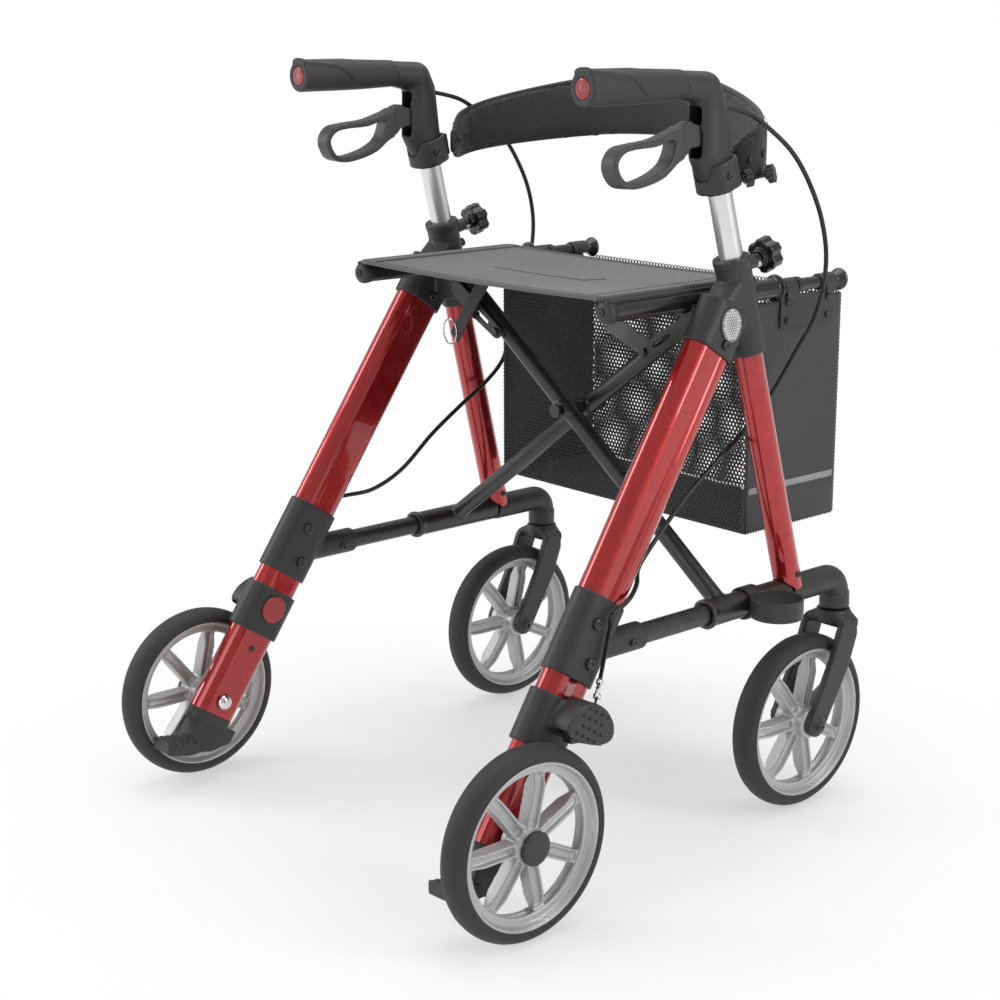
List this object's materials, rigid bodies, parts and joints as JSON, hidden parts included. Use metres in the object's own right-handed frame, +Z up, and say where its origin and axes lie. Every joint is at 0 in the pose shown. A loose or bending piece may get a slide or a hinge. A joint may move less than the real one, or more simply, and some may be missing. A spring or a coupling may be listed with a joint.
{
  "type": "rollator walker",
  "caption": "Folding rollator: two raked side frames on swivel casters and rear wheels, cross brace, sling seat, mesh basket, height-adjustable braked handles, backrest band.",
  "frame": {"origin": "on the floor under the middle of the whole walker", "axes": "+X to the user's right, +Y forwards, towards the basket and casters, +Z up"},
  "size_m": [0.6213, 0.6583, 0.826],
  "materials": {
    "candy_red": "glossy metallic candy red lacquer on aluminium",
    "black_moulding": "fine satin charcoal nylon moulding",
    "black_tube": "satin black powder coat",
    "chrome_fastener": "bright plated steel",
    "reflector": "prismatic reflector lens",
    "cable_sheath": "black plastic outer sheath",
    "satin_aluminium": "satin anodised, faint draw lines",
    "grip_rubber": "soft matt rubber",
    "lever_grey": "dark grey nylon",
    "brake_metal": "zinc-plated steel",
    "silver_rim": "silver-grey moulded, metallic flake",
    "tyre_grey": "dark grey soft polyurethane",
    "seat_fabric": "coated woven polyester, dark grey",
    "basket_mesh": "black hexagonal mesh and coated fabric",
    "backrest_pad": "padded black fabric band"
  },
  "bodies": {
    "left_frame": {"leg_left": "candy_red", "front_tube_left": "candy_red", "head_left": "black_moulding", "leg_bracket_left": "black_moulding", "side_tube_left": "black_tube", "elbow_left": "black_moulding", "brake_housing_left": "black_moulding", "tipper_left": "black_moulding", "fasteners_left": "chrome_fastener", "reflectors_left": "reflector", "cable_left": "cable_sheath"},
    "right_frame": {"leg_right": "candy_red", "front_tube_right": "candy_red", "head_right": "black_moulding", "leg_bracket_right": "black_moulding", "side_tube_right": "black_tube", "elbow_right": "black_moulding", "brake_housing_right": "black_moulding", "tipper_right": "black_moulding", "fasteners_right": "chrome_fastener", "reflectors_right": "reflector", "cable_right": "cable_sheath"},
    "brace_a": {"brace_a": "black_tube", "rail_left": "black_tube", "cane_holder": "black_moulding"},
    "brace_b": {"brace_b": "black_tube", "rail_right": "black_tube", "cross_bolt": "black_tube"},
    "seat_and_basket": {"seat": "seat_fabric", "basket": "basket_mesh", "basket_hooks": "black_moulding"},
    "lock_lever": {"lock_lever": "black_moulding"},
    "guide_link_left": {"guide_link_left": "black_moulding"},
    "handle_left": {"height_tube_left": "satin_aluminium", "handle_left": "black_moulding", "grip_left": "grip_rubber", "backrest_clamp_left": "black_moulding", "backrest": "backrest_pad"},
    "brake_lever_left": {"brake_lever_left": "lever_grey"},
    "brake_shoe_left": {"brake_shoe_left": "brake_metal"},
    "knob_left": {"knob_left": "black_moulding"},
    "caster_left": {"fork_left": "black_moulding"},
    "caster_wheel_left": {"caster_rim_left": "silver_rim", "caster_tyre_left": "tyre_grey"},
    "rear_wheel_left": {"rear_rim_left": "silver_rim", "rear_tyre_left": "tyre_grey"},
    "guide_link_right": {"guide_link_right": "black_moulding"},
    "handle_right": {"height_tube_right": "satin_aluminium", "handle_right": "black_moulding", "grip_right": "grip_rubber", "backrest_clamp_right": "black_moulding"},
    "brake_lever_right": {"brake_lever_right": "lever_grey"},
    "brake_shoe_right": {"brake_shoe_right": "brake_metal"},
    "knob_right": {"knob_right": "black_moulding"},
    "caster_right": {"fork_right": "black_moulding"},
    "caster_wheel_right": {"caster_rim_right": "silver_rim", "caster_tyre_right": "tyre_grey"},
    "rear_wheel_right": {"rear_rim_right": "silver_rim", "rear_tyre_right": "tyre_grey"}
  },
  "joints": [
    {"name": "fold", "type": "hinge", "parent": "left_frame", "child": "brace_b", "pos_m": [-0.24475, 0.1265, 0.25789], "axis": [0, -1, 0], "range_deg": [0, 32.4], "deforming": ["seat", "basket", "basket_hooks", "backrest"]},
    {"name": "cross_pivot", "type": "hinge", "parent": "brace_b", "child": "brace_a", "pos_m": [0, 0.11, 0.43886], "axis": [0, -1, 0], "range_deg": [-75, 2]},
    {"name": "right_side_pivot", "type": "hinge", "parent": "brace_a", "child": "right_frame", "pos_m": [0.24475, 0.1265, 0.25789], "axis": [0, -1, 0], "range_deg": [-2, 36]},
    {"name": "seat_pivot", "type": "hinge", "parent": "brace_a", "child": "seat_and_basket", "pos_m": [-0.199, 0.085, 0.586], "axis": [0, -1, 0], "range_deg": [-2, 38]},
    {"name": "guide_link_left_turn", "type": "hinge", "parent": "brace_a", "child": "guide_link_left", "pos_m": [-0.105, 0.0778, 0.516], "axis": [0, 1, 0], "range_deg": [-158, 3]},
    {"name": "height_left", "type": "slide", "parent": "left_frame", "child": "handle_left", "axis": [0.0287, -0.2517, 0.9674], "range_m": [-0.062, 0.12], "deforming": ["cable_left", "backrest"]},
    {"name": "brake_lever_left", "type": "hinge", "parent": "handle_left", "child": "brake_lever_left", "pos_m": [-0.22994, 0.055, 0.75667], "axis": [-0.9996, 0, 0.0297], "range_deg": [0, 14], "stiffness_Nm_per_rad": 0.8},
    {"name": "brake_shoe_left", "type": "hinge", "parent": "left_frame", "child": "brake_shoe_left", "pos_m": [-0.28204, -0.13, 0.18096], "axis": [0.9996, 0, -0.0297], "range_deg": [-1, 6]},
    {"name": "knob_left", "type": "hinge", "parent": "left_frame", "child": "knob_left", "pos_m": [-0.23369, 0.1554, 0.63056], "axis": [0.0075, 0.9678, 0.2516], "range_deg": [0, 360]},
    {"name": "caster_swivel_left", "type": "hinge", "parent": "left_frame", "child": "caster_left", "pos_m": [-0.245, 0.2783, 0.223], "axis": [0, 0, 1], "continuous": true},
    {"name": "caster_spin_left", "type": "hinge", "parent": "caster_left", "child": "caster_wheel_left", "pos_m": [-0.245, 0.2226, 0.1], "axis": [1, 0, 0], "continuous": true},
    {"name": "rear_spin_left", "type": "hinge", "parent": "left_frame", "child": "rear_wheel_left", "pos_m": [-0.2883, -0.2323, 0.1], "axis": [1, 0, 0], "continuous": true},
    {"name": "guide_link_right_turn", "type": "hinge", "parent": "brace_b", "child": "guide_link_right", "pos_m": [0.105, 0.109, 0.516], "axis": [0, -1, 0], "range_deg": [-158, 3]},
    {"name": "height_right", "type": "slide", "parent": "right_frame", "child": "handle_right", "axis": [-0.0287, -0.2517, 0.9674], "range_m": [-0.062, 0.12], "deforming": ["cable_right"]},
    {"name": "brake_lever_right", "type": "hinge", "parent": "handle_right", "child": "brake_lever_right", "pos_m": [0.22994, 0.055, 0.75667], "axis": [-0.9996, 0, -0.0297], "range_deg": [0, 14], "stiffness_Nm_per_rad": 0.8},
    {"name": "brake_shoe_right", "type": "hinge", "parent": "right_frame", "child": "brake_shoe_right", "pos_m": [0.28204, -0.13, 0.18096], "axis": [0.9996, 0, 0.0297], "range_deg": [-1, 6]},
    {"name": "knob_right", "type": "hinge", "parent": "right_frame", "child": "knob_right", "pos_m": [0.23369, 0.1554, 0.63056], "axis": [-0.0075, 0.9678, 0.2516], "range_deg": [0, 360]},
    {"name": "caster_swivel_right", "type": "hinge", "parent": "right_frame", "child": "caster_right", "pos_m": [0.245, 0.2783, 0.223], "axis": [0, 0, 1], "continuous": true},
    {"name": "caster_spin_right", "type": "hinge", "parent": "caster_right", "child": "caster_wheel_right", "pos_m": [0.245, 0.2226, 0.1], "axis": [1, 0, 0], "continuous": true},
    {"name": "rear_spin_right", "type": "hinge", "parent": "right_frame", "child": "rear_wheel_right", "pos_m": [0.2883, -0.2323, 0.1], "axis": [1, 0, 0], "continuous": true},
    {"name": "lock_lever_turn", "type": "hinge", "parent": "left_frame", "child": "lock_lever", "pos_m": [-0.2123, 0.117, 0.54205], "axis": [-0.9996, 0, 0.0297], "range_deg": [0, 25]}
  ],
  "couplings": [
    {"joint": "cross_pivot", "follows": "fold", "ratio": -2.2222},
    {"joint": "right_side_pivot", "follows": "fold", "ratio": 1},
    {"joint": "seat_pivot", "follows": "fold", "ratio": 1.1111},
    {"joint": "guide_link_left_turn", "follows": "fold", "ratio": -4.7},
    {"joint": "brake_shoe_left", "follows": "brake_lever_left", "ratio": 0.35714},
    {"joint": "guide_link_right_turn", "follows": "fold", "ratio": -4.7},
    {"joint": "brake_shoe_right", "follows": "brake_lever_right", "ratio": 0.35714},
    {"joint": "height_right", "follows": "height_left", "ratio": 1}
  ]
}
